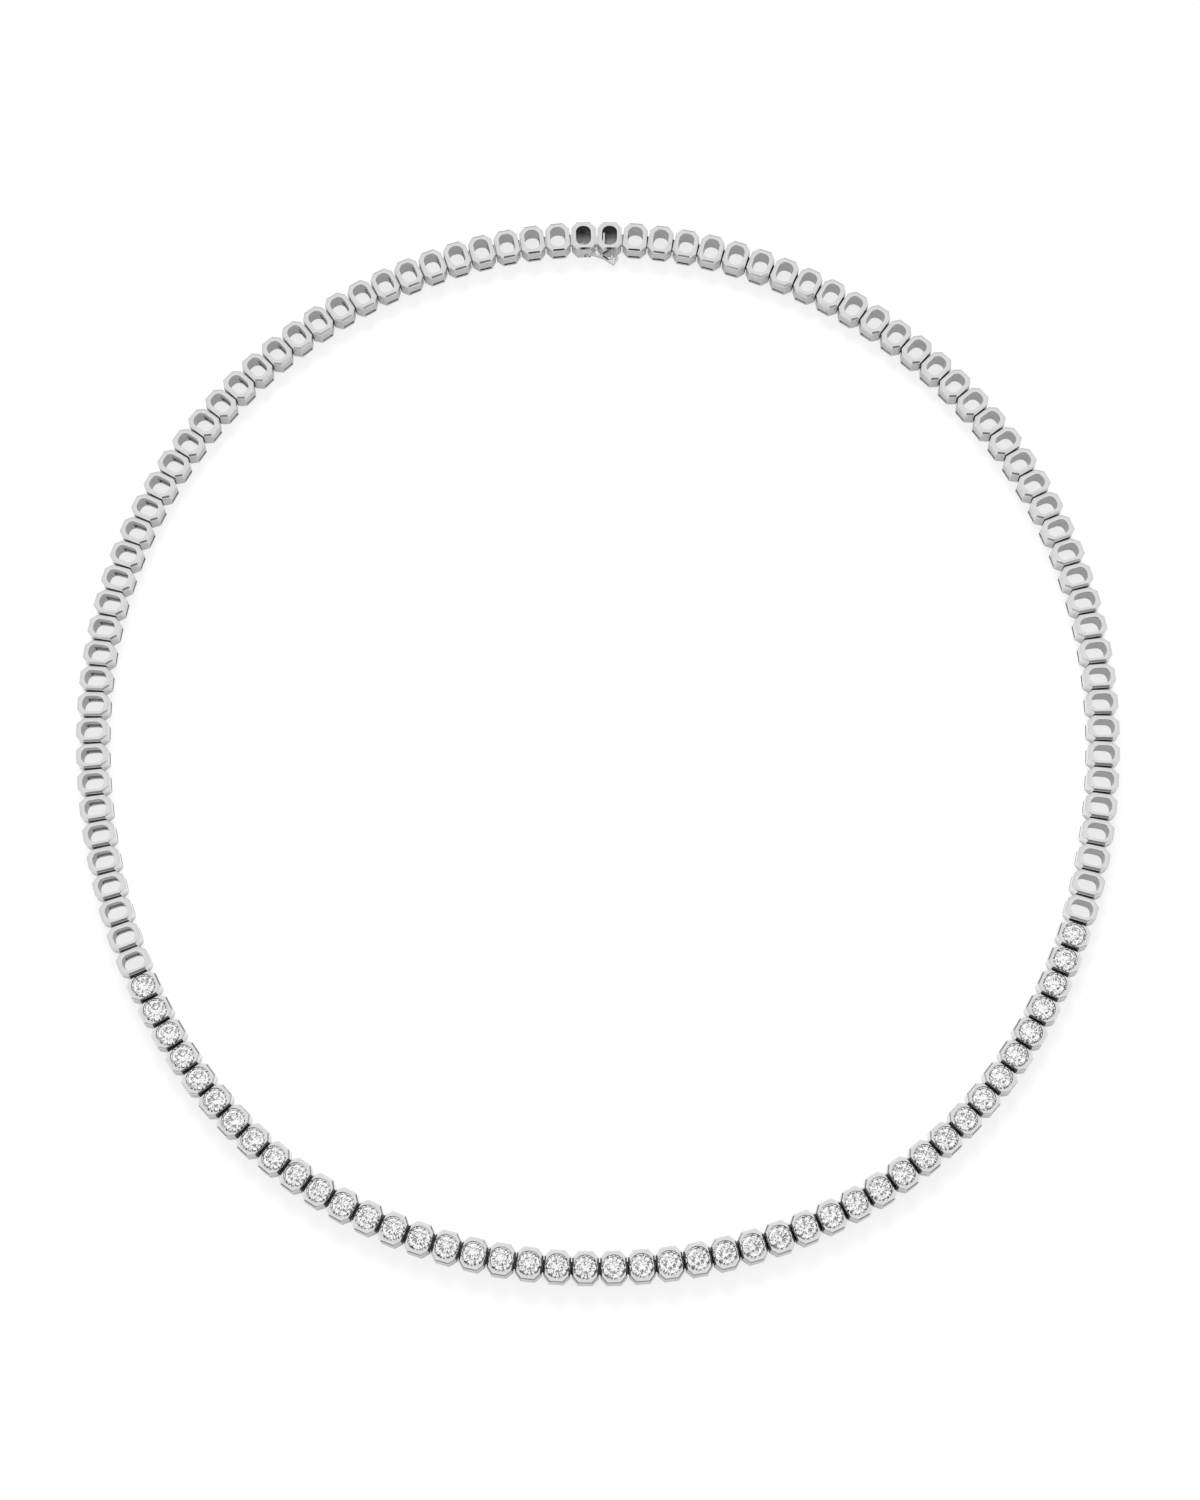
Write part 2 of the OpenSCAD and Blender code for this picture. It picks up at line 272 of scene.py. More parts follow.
class Outline:
    """The octagon of a link as points in order, each with its way out, and the hole that they look in on"""

    # in soft edges: a shorter step rounds a corner, and the rounding fades over an inset of this size
    ROUNDING_STEP = 5
    ROUNDING_FADE = 4

    def __init__(self, link, long):
        self.link = link
        bm = bmesh.new()
        bmesh.ops.create_grid(bm, x_segments=1, y_segments=1, size=1)
        # scaled first so that both cuts of a corner are one unit long, and back again after the cut
        half = (long / 2 / link.cut_long, link.width / 2 / link.cut_across, 1)
        bmesh.ops.scale(bm, vec=half, verts=bm.verts)
        self.cut_corners(bm, 1, 1)
        bmesh.ops.scale(bm, vec=(link.cut_long, link.cut_across, 1), verts=bm.verts)
        self.cut_corners(bm, link.soft, 2)
        straight = [e for e in bm.edges if e.calc_length() > self.ROUNDING_STEP * link.soft]
        bmesh.ops.subdivide_edges(bm, edges=straight, cuts=3)
        self.points = [loop.vert.co.xy for loop in bm.faces[:][0].loops]
        bm.free()
        self.corners, self.outs = zip(*(self.corner(i) for i in range(len(self.points))))

    @staticmethod
    def cut_corners(bm, offset, segments):
        """Cuts or rounds the corners of a flat face"""
        bmesh.ops.bevel(
            bm, geom=bm.verts[:], offset=offset, offset_type="OFFSET", segments=segments,
            profile=0.5, affect="VERTICES", material=-1
        )

    def corner(self, i):
        """The sharp corner that a point was rounded from, and the move that shifts its walls out by one"""
        first = last = i
        short = self.ROUNDING_STEP * self.link.soft
        while self.step(first - 1).length < short:
            first -= 1
        while self.step(last).length < short:
            last += 1
        way = self.step(first - 1).normalized()
        following = self.step(last).normalized()
        a = Vector((way.y, -way.x))
        b = Vector((following.y, -following.x))
        out = (a + b) / (1 + a.dot(b))
        if first == last:
            return self.at(i), out
        return self.at(first) + way * (self.at(last) - self.at(first)).dot(b) / way.dot(b), out

    def at(self, i):
        """A point of the octagon, counted round and round"""
        return self.points[i % len(self.points)]

    def step(self, i):
        """The way from a point to the next"""
        return self.at(i + 1) - self.at(i)

    def drawn_in(self, i, inset):
        """A point drawn in from the wall. The rounding of its corner fades on the way."""
        corner = self.corners[i]
        keep = max(1 - inset / (self.ROUNDING_FADE * self.link.soft), 0)
        return corner - self.outs[i] * inset + (self.points[i] - corner) * keep

    def wall(self, inset, z):
        """The octagon drawn in from the wall"""
        return [self.drawn_in(i, inset).to_3d() + Vector((0, 0, z)) for i in range(len(self.points))]

    def hole(self, grow, z):
        """The hole's outline, looked at from its middle towards each point of the octagon"""
        return [self.hole_point(p.normalized(), grow).to_3d() + Vector((0, 0, z)) for p in self.points]

    def hole_point(self, way, grow):
        """Where a line from the middle meets the hole's rounded rectangle"""
        link = self.link
        straight = Vector((link.hole_long / 2 - link.hole_r, link.hole_across / 2 - link.hole_r))
        side = Vector((abs(way.x), abs(way.y)))
        reach_x = link.hole_long / 2 / max(side.x, 1e-9)
        reach_y = link.hole_across / 2 / max(side.y, 1e-9)
        if reach_x * side.y <= straight.y:
            reach = reach_x
        elif reach_y * side.x <= straight.x:
            reach = reach_y
        else:
            towards = side.dot(straight)
            reach = towards + math.sqrt(link.hole_r**2 - straight.length_squared + towards**2)
        return way * (reach + grow)


def loop_edges(bm, ring):
    """The edges of a closed ring of corners"""
    return [bm.edges.get(pair) for pair in zip(ring, ring[1:] + ring[:1])]


def move(ring, points):
    """Moves each corner of a ring to its place"""
    for vert, point in zip(ring, points):
        vert.co = point


def loft(bm, rings):
    """Skins a stack of rings, each extruded from the last, and bridges its two ends"""
    ring = bmesh.ops.create_circle(bm, cap_ends=False, segments=len(rings[0]), radius=1)["verts"]
    first = ring = list(ring)
    move(ring, rings[0])
    for points in rings[1:]:
        made = bmesh.ops.extrude_edge_only(bm, edges=loop_edges(bm, ring))["geom"]
        fresh = {v for v in made if isinstance(v, bmesh.types.BMVert)}
        ring = [next(e.other_vert(v) for e in v.link_edges if e.other_vert(v) in fresh) for v in ring]
        move(ring, points)
    bmesh.ops.bridge_loops(bm, edges=loop_edges(bm, first) + loop_edges(bm, ring))


def walls_towards(bm, towards, inner, both):
    """The upright faces beyond a distance from the middle that look one way, or both that and back"""
    found = []
    for face in bm.faces:
        facing = face.normal.dot(towards)
        beyond = face.calc_center_median().dot(towards) > inner
        if (facing > 0.4 or both and facing < -0.4) and abs(face.normal.z) < 0.3 and beyond:
            found.append(face)
    return found


def marked_out(bm, towards, inner, half_width, low, high, both):
    """Cuts a rectangle into the wall that faces one way, and gives the faces inside it"""
    towards = Vector(towards)
    across = Vector((-towards.y, towards.x, 0))

    def cut(point, normal):
        faces = walls_towards(bm, towards, inner, both)
        # each part once, in the order of its faces
        parts = dict.fromkeys(part for f in faces for part in (f, *f.edges, *f.verts))
        bmesh.ops.bisect_plane(bm, geom=list(parts), dist=1e-4, plane_co=point, plane_no=normal)

    columns = {-half_width, half_width}
    for face in walls_towards(bm, towards, inner, both):
        for vert in face.verts:
            beside = round(vert.co.dot(across), 3)
            if abs(beside) < half_width - 0.02:
                columns.add(beside)
    for beside in sorted(columns):
        cut(across * beside, across)
    for z in (low, high):
        cut((0, 0, z), (0, 0, 1))
    opening = []
    for face in walls_towards(bm, towards, inner, both):
        middle = face.calc_center_median()
        if abs(middle.dot(across)) < half_width and low < middle.z < high:
            opening.append(face)
    return opening


def window(bm, towards, inner, half_width, low, high):
    """An opening straight through the wall that faces one way"""
    opening = marked_out(bm, towards, inner, half_width, low, high, True)
    bmesh.ops.delete(bm, geom=opening, context="FACES")
    bmesh.ops.bridge_loops(bm, edges=[e for e in bm.edges if e.is_boundary])


def blind_slot(bm, towards, inner, half_width, low, high, depth):
    """A slot that goes a little way into the wall that faces one way"""
    opening = marked_out(bm, towards, inner, half_width, low, high, False)
    made = bmesh.ops.extrude_face_region(bm, geom=opening)["geom"]
    bmesh.ops.delete(bm, geom=opening, context="FACES_ONLY")
    bottom = [v for v in made if isinstance(v, bmesh.types.BMVert)]
    bmesh.ops.translate(bm, vec=-depth * Vector(towards), verts=bottom)


def tidy(bm):
    """Joins faces that lie in one plane and turns every face outwards"""
    bmesh.ops.remove_doubles(bm, verts=bm.verts, dist=0.002)
    bmesh.ops.dissolve_limit(bm, angle_limit=math.radians(0.8), verts=bm.verts, edges=bm.edges)
    bmesh.ops.recalc_face_normals(bm, faces=bm.faces)


def hinge_bar(bm, hinge, side):
    """The bar across a window"""
    place = Matrix.Translation((side * hinge.bar_x, 0, hinge.level)) @ Matrix.Rotation(math.pi / 2, 4, "X")
    bmesh.ops.create_cone(
        bm, cap_ends=True, segments=12, radius1=hinge.bar_r, radius2=hinge.bar_r,
        depth=hinge.window_w + 0.3, matrix=place
    )


def hinge_eye(bm, hinge, distance, wall):
    """The eye round the neighbour's bar, towards -X, and its web back to the end wall"""
    centre = Vector((-distance, 0, hinge.level))
    half = hinge.eye_w / 2
    corners = [(hinge.eye_bore, -half), (hinge.eye_r, -half), (hinge.eye_r, half), (hinge.eye_bore, half)]
    section = [bm.verts.new(centre + Vector((r, y, 0))) for r, y in corners]
    edges = [bm.edges.new(pair) for pair in zip(section, section[1:] + section[:1])]
    bmesh.ops.spin(
        bm, geom=section + edges, cent=centre, axis=(0, 1, 0), angle=math.tau, steps=16, use_merge=True
    )
    web_start = -distance + hinge.eye_bore + 0.01
    web_end = 0.1 - wall
    web = Matrix.Translation(((web_start + web_end) / 2, 0, hinge.level))
    web = web @ Matrix.Diagonal((web_end - web_start, hinge.eye_w - 0.02, hinge.web_h, 1))
    bmesh.ops.create_cube(bm, size=1, matrix=web)


def as_mesh(bm, name, soft, gets_painted_shade):
    """A finished link as a mesh, to be copied along the ring, its faces in deep shade in the second
    material, a dark gold that paints the shade
    """
    bmesh.ops.recalc_face_normals(bm, faces=bm.faces)
    shade(bm, STRIP * soft)
    for face in bm.faces:
        face.material_index = int(gets_painted_shade(face))
    mesh = bpy.data.meshes.new(name)
    bm.to_mesh(mesh)
    bm.free()
    return mesh


def is_end_wall(face, link):
    """Whether a face is a part of an end wall's outside"""
    middle = face.calc_center_median()
    return abs(face.normal.x) > 0.9 and abs(middle.x) > link.hole_long / 2 + 0.02


def open_link(link, hinge, pitch, two_bars):
    """An octagonal box link with its hole, side slots, hinge window, bar and eye"""
    long = pitch - link.open_gap
    shape = Outline(link, long)
    soft = link.soft
    top = link.height
    shoulder = top - link.bevel_d
    outside = [(3 * soft, 0), (0, 0), (0, shoulder), (link.bevel_w, top), (link.bevel_w + 3 * soft, top)]
    inside = [(3 * soft, top), (0, top), (0, 0), (3 * soft, 0)]
    bm = bmesh.new()
    rings = [shape.wall(inset, z) for inset, z in rounded(outside, soft)]
    rings += [shape.hole(grow, z) for grow, z in rounded(inside, soft)]
    loft(bm, rings)
    bmesh.ops.recalc_face_normals(bm, faces=bm.faces)
    inner = link.hole_long / 2 - link.hole_r
    ends = [1, -1] if two_bars else [1]
    for end in ends:
        window(
            bm, (end, 0, 0), inner, hinge.window_w / 2,
            hinge.level - hinge.window_h / 2, hinge.level + hinge.window_h / 2
        )
    for side in (1, -1):
        blind_slot(
            bm, (0, side, 0), link.hole_across / 2 - link.hole_r, link.slot_long / 2,
            link.slot_z - link.slot_h / 2, link.slot_z + link.slot_h / 2, link.slot_depth
        )
    tidy(bm)
    for end in ends:
        hinge_bar(bm, hinge, end)
    if not two_bars:
        hinge_eye(bm, hinge, pitch - hinge.bar_x, long / 2)
    # the end walls between the links get the dark gold of painted shade
    return as_mesh(bm, "open_link", soft, lambda face: is_end_wall(face, link))


def bezel_rings(shape, link, setting):
    """The rings of a bezel link from its underside's edge over the lip and down the seat and the chamber"""
    soft = link.soft
    shoulder = link.height - link.bezel_bevel_d
    rings = [shape.wall(inset, z) for inset, z in rounded([(3 * soft, 0), (0, 0), (0, link.height)], soft)]
    bevel_end, bevel_top, rim, rim_turn, rim_in, lean = [], [], [], [], [], []
    seat, cone, ceiling = [], [], []
    edge = []
    for i, (point, corner, out) in enumerate(zip(shape.points, shape.corners, shape.outs)):
        # how far in from the wall the seat's circle cuts the link, along this point's own line
        b = -corner.dot(out)
        a = out.length_squared
        c = corner.length_squared - (setting.lip_r + soft) ** 2
        reach = (-b - math.sqrt(max(b * b - a * c, 0))) / a
        slope_end = min(link.bezel_bevel_w, reach)

        def on_top(inset):
            rise = min(inset / link.bezel_bevel_w, 1) * link.bezel_bevel_d
            return shape.drawn_in(i, inset).to_3d() + Vector((0, 0, shoulder + rise))

        edge.append([
            point.to_3d() + Vector((0, 0, shoulder - soft)),
            on_top(0.15 * soft) - Vector((0, 0, 0.15 * soft)),
            on_top(min(soft, slope_end)),
        ])
        way = shape.drawn_in(i, slope_end).normalized().to_3d()
        crest = shoulder + slope_end / link.bezel_bevel_w * link.bezel_bevel_d
        bevel_end.append(on_top(max(slope_end - soft, soft)))
        bevel_top.append(on_top(slope_end))
        rim.append(way * (setting.lip_r + soft) + Vector((0, 0, crest)))
        rim_turn.append(way * (setting.lip_r + 0.3 * soft) + Vector((0, 0, crest - 0.3 * soft)))
        rim_in.append(way * setting.lip_r + Vector((0, 0, crest - soft)))
        lean.append(way * setting.seat_r + Vector((0, 0, setting.lip_z)))
        seat.append(way * setting.seat_r + Vector((0, 0, setting.girdle_z)))
        chamber = shape.hole_point(point.normalized(), 0)
        cone.append(way * min(setting.cone_low_r, chamber.length) + Vector((0, 0, setting.cone_low)))
        ceiling.append(chamber.to_3d() + Vector((0, 0, setting.cone_low)))
    rings += [list(column) for column in zip(*edge)]
    rings += [bevel_end, bevel_top, rim, rim_turn, rim_in, lean, seat, cone, ceiling]
    rings += [shape.hole(grow, z) for grow, z in rounded([(0, link.height), (0, 0), (3 * soft, 0)], soft)]
    return rings


def bezel_link(link, hinge, setting, pitch):
    """A box link whose face is a bezel: lip, seat for the stone, chamber, hinge window, bar and eye"""
    long = pitch - link.bezel_gap
    shape = Outline(link, long)
    bm = bmesh.new()
    loft(bm, bezel_rings(shape, link, setting))
    bmesh.ops.remove_doubles(bm, verts=bm.verts, dist=0.002)
    bmesh.ops.recalc_face_normals(bm, faces=bm.faces)
    window(
        bm, (1, 0, 0), link.hole_long / 2 - link.hole_r, hinge.window_w / 2,
        hinge.level - hinge.window_h / 2, hinge.level + hinge.window_h / 2
    )
    tidy(bm)
    hinge_bar(bm, hinge, 1)
    hinge_eye(bm, hinge, pitch - hinge.bar_x, long / 2)
    under_lip = link.height - link.soft

    # the hinge window, the seat under the lip and the end walls get the dark gold of painted shade
    def gets_painted_shade(face):
        middle = face.calc_center_median()
        high = middle.z > UNDERSIDE
        in_window = high and middle.z < HINGE_TOP and abs(middle.y) < hinge.window_w / 2 + 0.01
        in_seat = high and middle.z < under_lip and middle.xy.length < setting.seat_r
        return in_window or in_seat or is_end_wall(face, link)

    return as_mesh(bm, "bezel_link", link.soft, gets_painted_shade)


def shade(bm, strip):
    """Shades faces smooth, with crisp edges, and carries no turn over from a narrow strip to a wide face"""
    narrow = {f for f in bm.faces if 2 * f.calc_area() < strip * f.calc_perimeter()}
    for face in bm.faces:
        face.smooth = True
    for edge in bm.edges:
        at_strip = len(narrow.intersection(edge.link_faces)) == 1
        edge.smooth = edge.calc_face_angle(math.pi) < SHARP and not at_strip


def piece(name, bm, materials, body, node):
    """Makes an object of a mesh in metres that stands for a solid of the frame and moves with its body"""
    mesh = bpy.data.meshes.new(name)
    bm.to_mesh(mesh)
    bm.free()
    for material in materials:
        mesh.materials.append(material)
    obj = bpy.data.objects.new(name, mesh)
    bpy.context.scene.collection.objects.link(obj)
    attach(obj, body)
    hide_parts(node)
    return obj


def string(places):
    """One mesh of many links, each put on the ring: places holds pairs of a link's mesh and its frame"""
    bm = bmesh.new()
    for mesh, place in places:
        start = len(bm.verts)
        bm.from_mesh(mesh)
        bm.verts.ensure_lookup_table()
        bmesh.ops.transform(bm, matrix=place, verts=bm.verts[start:])
    return bm


class Nodes:
    """A material's or world's node tree, with short ways to add to it"""

    def __init__(self, owner):
        owner.use_nodes = True
        self.tree = owner.node_tree
        self.tree.nodes.clear()

    def add(self, kind, **values):
        node = self.tree.nodes.new(kind)
        for key, value in values.items():
            if key in node.inputs:
                node.inputs[key].default_value = value
            else:
                setattr(node, key, value)
        return node

    def link(self, start, end):
        self.tree.links.new(start, end)


def surface(name):
    """A new material with an empty tree, its shader and its output"""
    material = bpy.data.materials.new(name)
    nodes = Nodes(material)
    shader = nodes.add("ShaderNodeBsdfPrincipled")
    nodes.output = nodes.add("ShaderNodeOutputMaterial")
    nodes.link(shader.outputs["BSDF"], nodes.output.inputs["Surface"])
    return material, nodes, shader


def noise(nodes, scale, detail=3.0, stretch=(1, 1, 1)):
    """Noise on the piece's own place in metres: scale counts its patches in a metre"""
    place = nodes.add("ShaderNodeTexCoord")
    mapping = nodes.add("ShaderNodeMapping")
    mapping.inputs["Scale"].default_value = stretch
    texture = nodes.add("ShaderNodeTexNoise", Scale=scale, Detail=detail)
    nodes.link(place.outputs["Object"], mapping.inputs["Vector"])
    nodes.link(mapping.outputs["Vector"], texture.inputs["Vector"])
    return texture.outputs["Fac"]


def spread(nodes, factor, low, high, start=0.3, end=0.7):
    """Turns a noise into numbers between two values"""
    ranged = nodes.add("ShaderNodeMapRange")
    nodes.link(factor, ranged.inputs["Value"])
    ranged.inputs["From Min"].default_value = start
    ranged.inputs["From Max"].default_value = end
    ranged.inputs["To Min"].default_value = low
    ranged.inputs["To Max"].default_value = high
    return ranged.outputs["Result"]


def tint(nodes, factor, dark, light):
    """Turns a noise into a colour between two colours"""
    ramp = nodes.add("ShaderNodeValToRGB")
    ramp.color_ramp.elements[0].position = 0.3
    ramp.color_ramp.elements[1].position = 0.7
    ramp.color_ramp.elements[0].color = (*dark, 1)
    ramp.color_ramp.elements[1].color = (*light, 1)
    nodes.link(factor, ramp.inputs["Fac"])
    return ramp.outputs["Color"]


def metal(name, base, rough, wave):
    """White gold: an even metal with faint patches in its polish and a slight unevenness of its faces"""
    if name in bpy.data.materials:
        return bpy.data.materials[name]
    material, nodes, shader = surface(name)
    shader.inputs["Metallic"].default_value = 1
    patches = noise(nodes, 600, 4)
    nodes.link(tint(nodes, patches, [c * 0.95 for c in base], base), shader.inputs["Base Color"])
    wear = noise(nodes, 2600, 5, (1, 1, 0.4))
    nodes.link(spread(nodes, wear, rough * 0.75, rough * 1.4), shader.inputs["Roughness"])
    bump = nodes.add("ShaderNodeBump", Strength=wave)
    bump.inputs["Distance"].default_value = 0.00002
    nodes.link(noise(nodes, 1500, 2), bump.inputs["Height"])
    nodes.link(bump.outputs["Normal"], shader.inputs["Normal"])
    return material


def gold(finish):
    """Polished white gold"""
    return metal("polished_white_gold", finish.gold, finish.gold_rough, 0.12)


def gold_with_painted_shade(finish):
    """White gold darkened as painted shade for the seats, the hinge windows and the gaps between the links
    """
    return metal("cast_white_gold", finish.cast, finish.cast_rough, 0.5)


def satin_gold(finish):
    """White gold as it is left inside the clasp"""
    return metal("satin_white_gold", finish.satin, finish.satin_rough, 0.5)


def diamond(finish):
    """Clear stone, with the faintest clouds in it"""
    name = "clear_diamond"
    if name in bpy.data.materials:
        return bpy.data.materials[name]
    material, nodes, shader = surface(name)
    shader.inputs["Transmission Weight"].default_value = 1
    shader.inputs["Roughness"].default_value = 0
    shader.inputs["IOR"].default_value = finish.diamond_ior
    clouds = tint(nodes, noise(nodes, 400, 2), [c * 0.985 for c in finish.diamond], finish.diamond)
    nodes.link(clouds, shader.inputs["Base Color"])
    return material


def settings(*names):
    """Groups of settings, each as plain numbers"""
    return [Sizes(getattr(bpy.context.scene, "riviere_" + name)) for name in names]


class RIVIERE_OT_stage(bpy.types.Operator):
    """Sets up the floor, the soft light and the camera"""

    bl_idname = "riviere.stage"
    bl_label = "Stage"

    FLOOR_REACH = 4
    HAZE = 1.04
    CARD_RADIUS = 0.06
    KEY_SIZE = (0.5, 0.35)
    KEY_PLACE = (-0.08, 0.72, 0.66)
    SEEN_SKY = 1.2
    # heights over the horizon, from 0 to 1 overhead, between which the sky is even
    DARK_TOP = 0.06
    LOW_START = 0.22
    LOW_TOP = 0.6

    def execute(self, context):
        stage = context.scene.riviere_stage
        self.floor(stage)
        self.sky(context.scene, stage)
        self.key(stage)
        camera = self.camera(stage)
        context.scene.camera = camera
        self.lens_card(camera)
        context.scene.view_settings.view_transform = "Standard"
        context.scene.cycles.max_bounces = 24
        context.scene.cycles.transmission_bounces = 20
        context.scene.cycles.glossy_bounces = 12
        return {"FINISHED"}

    def floor(self, stage):
        bm = bmesh.new()
        bmesh.ops.create_grid(bm, x_segments=1, y_segments=1, size=self.FLOOR_REACH)
        mesh = bpy.data.meshes.new("floor")
        bm.to_mesh(mesh)
        bm.free()
        floor = bpy.data.objects.new("floor", mesh)
        bpy.context.scene.collection.objects.link(floor)
        material, nodes, shader = surface("floor_white")
        shader.inputs["Roughness"].default_value = 0.9
        shader.inputs["Specular IOR Level"].default_value = 0.1
        paper = tint(nodes, noise(nodes, 900, 4), [c * 0.99 for c in stage.floor], stage.floor)
        nodes.link(paper, shader.inputs["Base Color"])
        # the picture shows the floor over-exposed, the metal mirrors it as it is
        haze = nodes.add("ShaderNodeEmission", Strength=self.HAZE)
        seen = nodes.add("ShaderNodeLightPath")
        washed = spread(nodes, seen.outputs["Is Camera Ray"], stage.floor_glow, stage.floor_haze, 0, 1)
        mix = nodes.add("ShaderNodeMixShader")
        nodes.link(washed, mix.inputs["Fac"])
        nodes.link(shader.outputs["BSDF"], mix.inputs[1])
        nodes.link(haze.outputs["Emission"], mix.inputs[2])
        nodes.link(mix.outputs["Shader"], nodes.output.inputs["Surface"])
        mesh.materials.append(material)

    def sky(self, scene, stage):
        """White, dark along the horizon and in one place behind the camera, and crisper for the stones"""
        world = bpy.data.worlds.new("soft_sky")
        scene.world = world
        nodes = Nodes(world)
        way = nodes.add("ShaderNodeTexCoord")
        parts = nodes.add("ShaderNodeSeparateXYZ")
        nodes.link(way.outputs["Generated"], parts.inputs["Vector"])
        height = nodes.add("ShaderNodeValToRGB")
        ramp = height.color_ramp
        steps = [
            (0.0, stage.horizon), (self.DARK_TOP, stage.horizon),
            (self.LOW_START, stage.low), (self.LOW_TOP, stage.low), (1.0, 1.0)
        ]
        for _ in steps[2:]:
            ramp.elements.new(0.5)
        for element, (place, grey) in zip(ramp.elements, steps):
            element.position = place
            element.color = (grey, grey, grey, 1)
        nodes.link(parts.outputs["Z"], height.inputs["Fac"])
        near = nodes.add("ShaderNodeVectorMath", operation="DOT_PRODUCT")
        level = math.cos(stage.front_lift)
        across = level * math.sin(stage.front_turn)
        forward = -level * math.cos(stage.front_turn)
        near.inputs[1].default_value = (across, forward, math.sin(stage.front_lift))
        nodes.link(way.outputs["Generated"], near.inputs[0])
        edge, dark = math.cos(stage.front_edge), math.cos(stage.front_dark)
        front = spread(nodes, near.outputs["Value"], 1, stage.front, edge, dark)
        both = nodes.add("ShaderNodeMath", operation="MULTIPLY")
        nodes.link(height.outputs["Color"], both.inputs[0])
        nodes.link(front, both.inputs[1])
        mirrored = nodes.add("ShaderNodeMath", operation="MULTIPLY")
        nodes.link(both.outputs["Value"], mirrored.inputs[0])
        mirrored.inputs[1].default_value = stage.sky
        # the stones gather a crisp sky: white, with a black spot, a black rim and small dark clouds
        spot = math.cos(stage.sparkle_spot)
        crisp = spread(nodes, near.outputs["Value"], stage.sparkle, 0.02, spot, spot + 0.004)
        rim = spread(nodes, parts.outputs["Z"], 0.03, 1, stage.sparkle_rim - 0.01, stage.sparkle_rim)
        gathered = nodes.add("ShaderNodeMath", operation="MULTIPLY")
        nodes.link(crisp, gathered.inputs[0])
        nodes.link(rim, gathered.inputs[1])
        clouds = nodes.add("ShaderNodeTexNoise", Scale=stage.sparkle_clouds, Detail=1.0)
        nodes.link(way.outputs["Generated"], clouds.inputs["Vector"])
        dotted = nodes.add("ShaderNodeMath", operation="MULTIPLY")
        nodes.link(gathered.outputs["Value"], dotted.inputs[0])
        nodes.link(spread(nodes, clouds.outputs["Fac"], 1, 0.2, 0.57, 0.61), dotted.inputs[1])
        seen = nodes.add("ShaderNodeLightPath")
        stones = nodes.add("ShaderNodeMix", data_type="FLOAT")
        nodes.link(seen.outputs["Is Transmission Ray"], stones.inputs["Factor"])
        nodes.link(mirrored.outputs["Value"], stones.inputs["A"])
        nodes.link(dotted.outputs["Value"], stones.inputs["B"])
        mix = nodes.add("ShaderNodeMix", data_type="FLOAT")
        nodes.link(seen.outputs["Is Camera Ray"], mix.inputs["Factor"])
        nodes.link(stones.outputs["Result"], mix.inputs["A"])
        mix.inputs["B"].default_value = self.SEEN_SKY
        background = nodes.add("ShaderNodeBackground")
        nodes.link(mix.outputs["Result"], background.inputs["Strength"])
        output = nodes.add("ShaderNodeOutputWorld")
        nodes.link(background.outputs["Background"], output.inputs["Surface"])

    def key(self, stage):
        """One large soft light behind the ring, so that shadows fall forwards"""
        data = bpy.data.lights.new("key_light", "AREA")
        data.shape = "RECTANGLE"
        data.size, data.size_y = self.KEY_SIZE
        data.energy = stage.key_power
        light = bpy.data.objects.new("key_light", data)
        bpy.context.scene.collection.objects.link(light)
        light.location = self.KEY_PLACE
        light.visible_glossy = False
        light.visible_transmission = False
        light.rotation_euler = (-Vector(light.location)).to_track_quat("-Z", "Y").to_euler()

    def camera(self, stage):
        data = bpy.data.cameras.new("camera")
        data.lens = stage.lens
        data.sensor_width = 36
        data.clip_start = 0.01
        camera = bpy.data.objects.new("camera", data)
        bpy.context.scene.collection.objects.link(camera)
        back = Vector((0, -math.sin(stage.tilt), math.cos(stage.tilt)))
        camera.location = Vector((stage.aim_x, stage.aim_y, 0)) + back * stage.distance
        turned = (-back).to_track_quat("-Z", "Y").to_matrix() @ Matrix.Rotation(-stage.roll, 3, "Z")
        camera.rotation_euler = turned.to_euler()
        return camera

    def lens_card(self, camera):
        """The dark camera itself, which the stones and the bevels mirror. It is not seen in the picture."""
        bm = bmesh.new()
        bmesh.ops.create_circle(bm, cap_ends=True, segments=32, radius=self.CARD_RADIUS)
        mesh = bpy.data.meshes.new("lens_card")
        bm.to_mesh(mesh)
        bm.free()
        card = bpy.data.objects.new("lens_card", mesh)
        bpy.context.scene.collection.objects.link(card)
        card.location = camera.location
        card.rotation_euler = camera.rotation_euler
        card.visible_camera = False
        material, nodes, shader = surface("card_black")
        shader.inputs["Base Color"].default_value = (0.02, 0.02, 0.02, 1)
        shader.inputs["Roughness"].default_value = 0.8
        mesh.materials.append(material)


class RIVIERE_OT_open_links(bpy.types.Operator):
    """Strings the plain open links that run down both sides from the clasp"""

    bl_idname = "riviere.open_links"
    bl_label = "Open links"

    def execute(self, context):
        chain, link, hinge, finish = settings("chain", "link", "hinge", "finish")
        ring = Ring(chain)
        plain = open_link(link, hinge, chain.pitch, False)
        beside_clasp = open_link(link, hinge, chain.pitch, True)
        first_stone = chain.right_links + 1
        last_stone = chain.right_links + chain.stone_count
        numbers = [*range(1, first_stone), *range(last_stone + 1, ring.links - 1)]
        bm = string([(beside_clasp if n == 1 else plain, ring.link(n)) for n in numbers])
        piece("open_link_chain", bm, [gold(finish), gold_with_painted_shade(finish)], "chain", "open_links")
        return {"FINISHED"}


class RIVIERE_OT_bezel_links(bpy.types.Operator):
    """Strings the bezel links along the front"""

    bl_idname = "riviere.bezel_links"
    bl_label = "Bezel links"

    def execute(self, context):
        chain, link, hinge, setting, finish = settings("chain", "link", "hinge", "setting", "finish")
        ring = Ring(chain)
        bezel = bezel_link(link, hinge, setting, chain.pitch)
        first_stone = chain.right_links + 1
        bm = string([(bezel, ring.link(first_stone + n)) for n in range(chain.stone_count)])
        piece("bezel_link_chain", bm, [gold(finish), gold_with_painted_shade(finish)], "chain", "stone_links")
        return {"FINISHED"}


